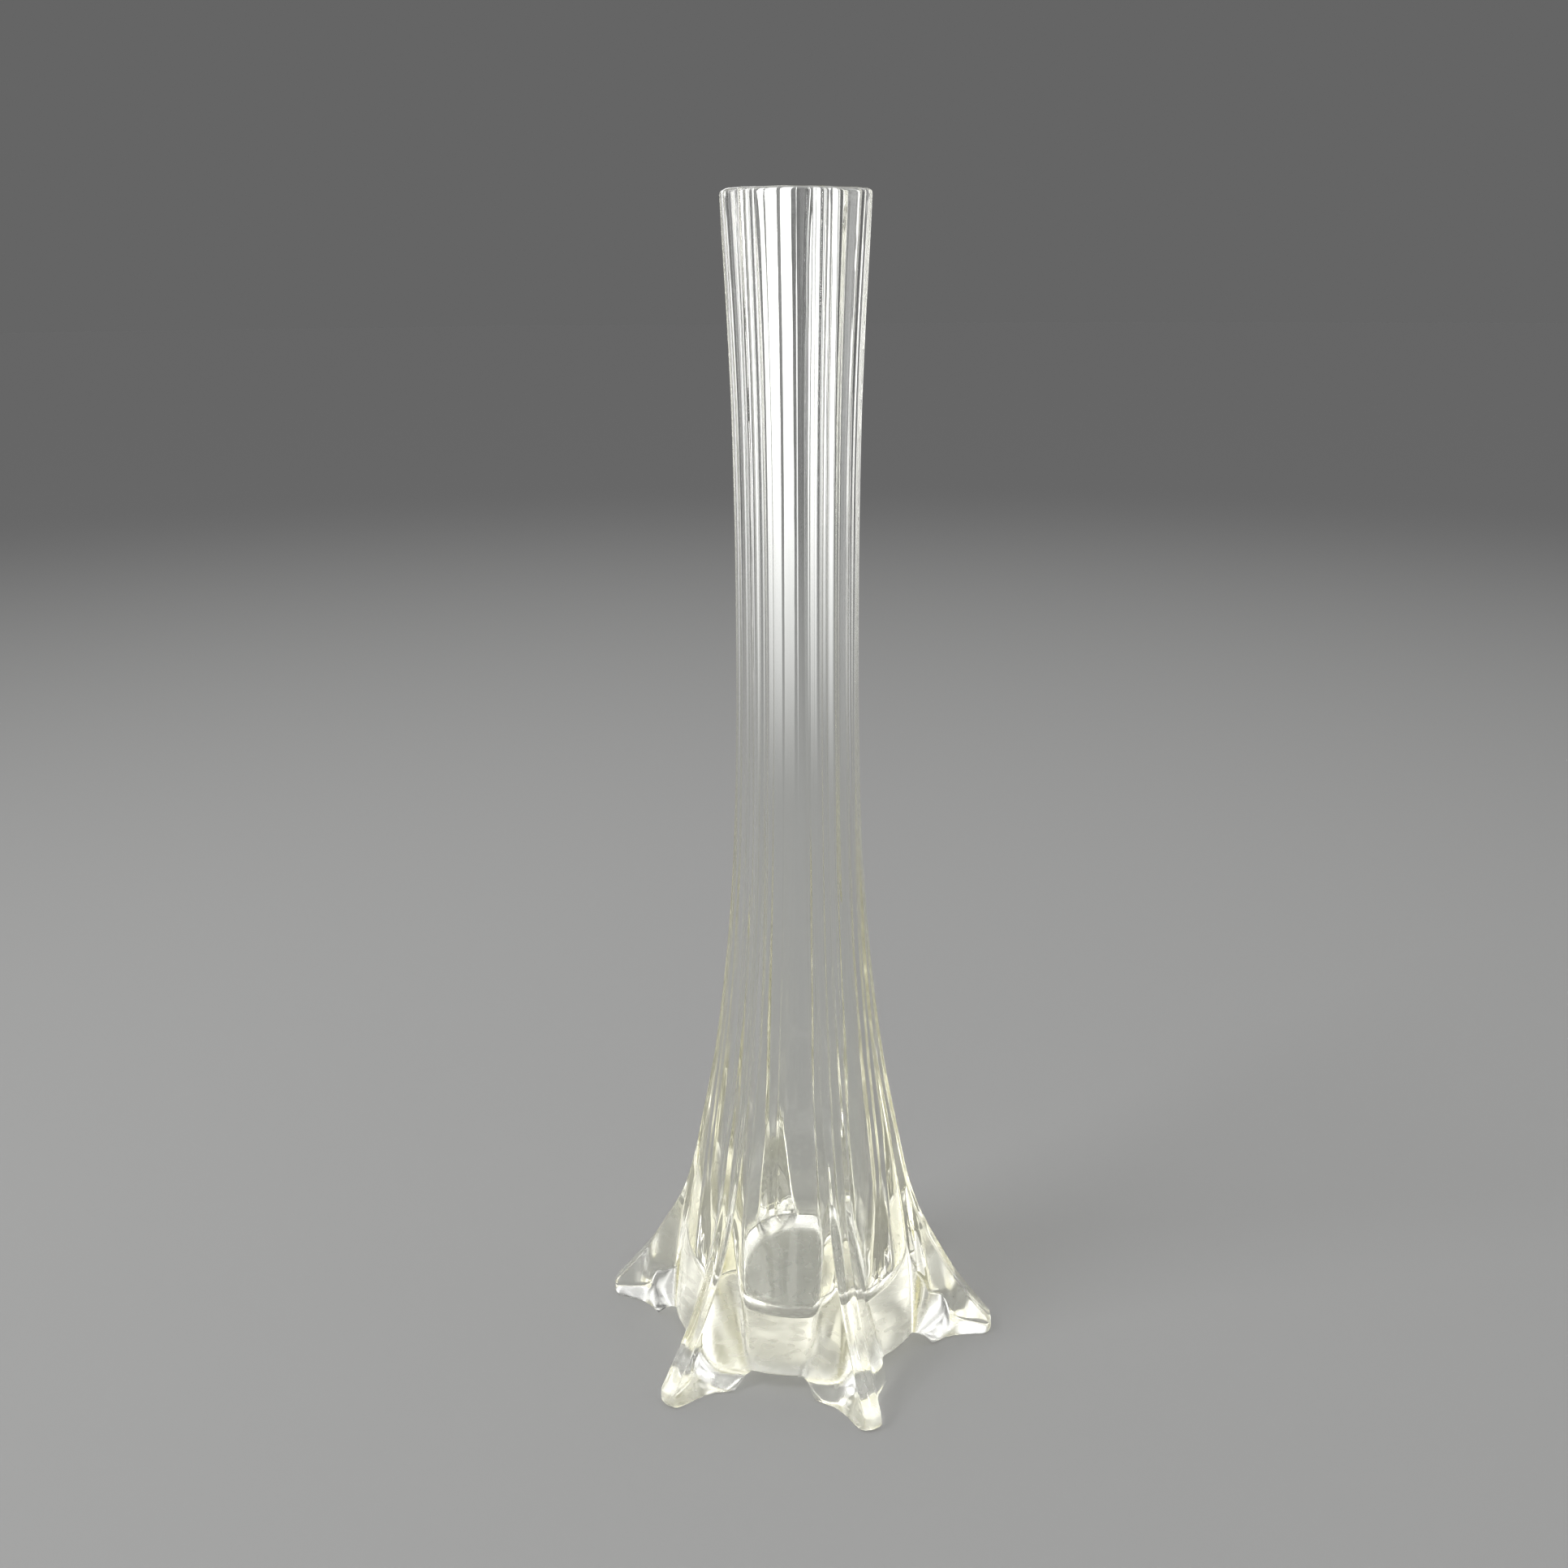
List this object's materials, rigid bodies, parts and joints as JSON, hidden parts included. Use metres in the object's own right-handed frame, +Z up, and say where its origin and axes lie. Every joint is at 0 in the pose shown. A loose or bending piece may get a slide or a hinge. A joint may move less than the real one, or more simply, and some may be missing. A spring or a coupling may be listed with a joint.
{
  "type": "bud vase",
  "caption": "Tall slim clear pressed-glass bud vase: ribbed column with a flared fire-polished rim, bell-shaped solid base and star-shaped foot.",
  "frame": {"origin": "middle of the surface that the six foot pads stand on, on the axis of the column", "axes": "+Z up along the axis of the column, +X out along the middle of foot 1"},
  "size_m": [0.1108, 0.0976, 0.305],
  "materials": {
    "clear_glass": "polished"
  },
  "bodies": {
    "root": {"rim": "clear_glass", "neck": "clear_glass", "stem": "clear_glass", "base_block": "clear_glass", "foot_1": "clear_glass", "foot_2": "clear_glass", "foot_3": "clear_glass", "foot_4": "clear_glass", "foot_5": "clear_glass", "foot_6": "clear_glass"}
  },
  "joints": []
}
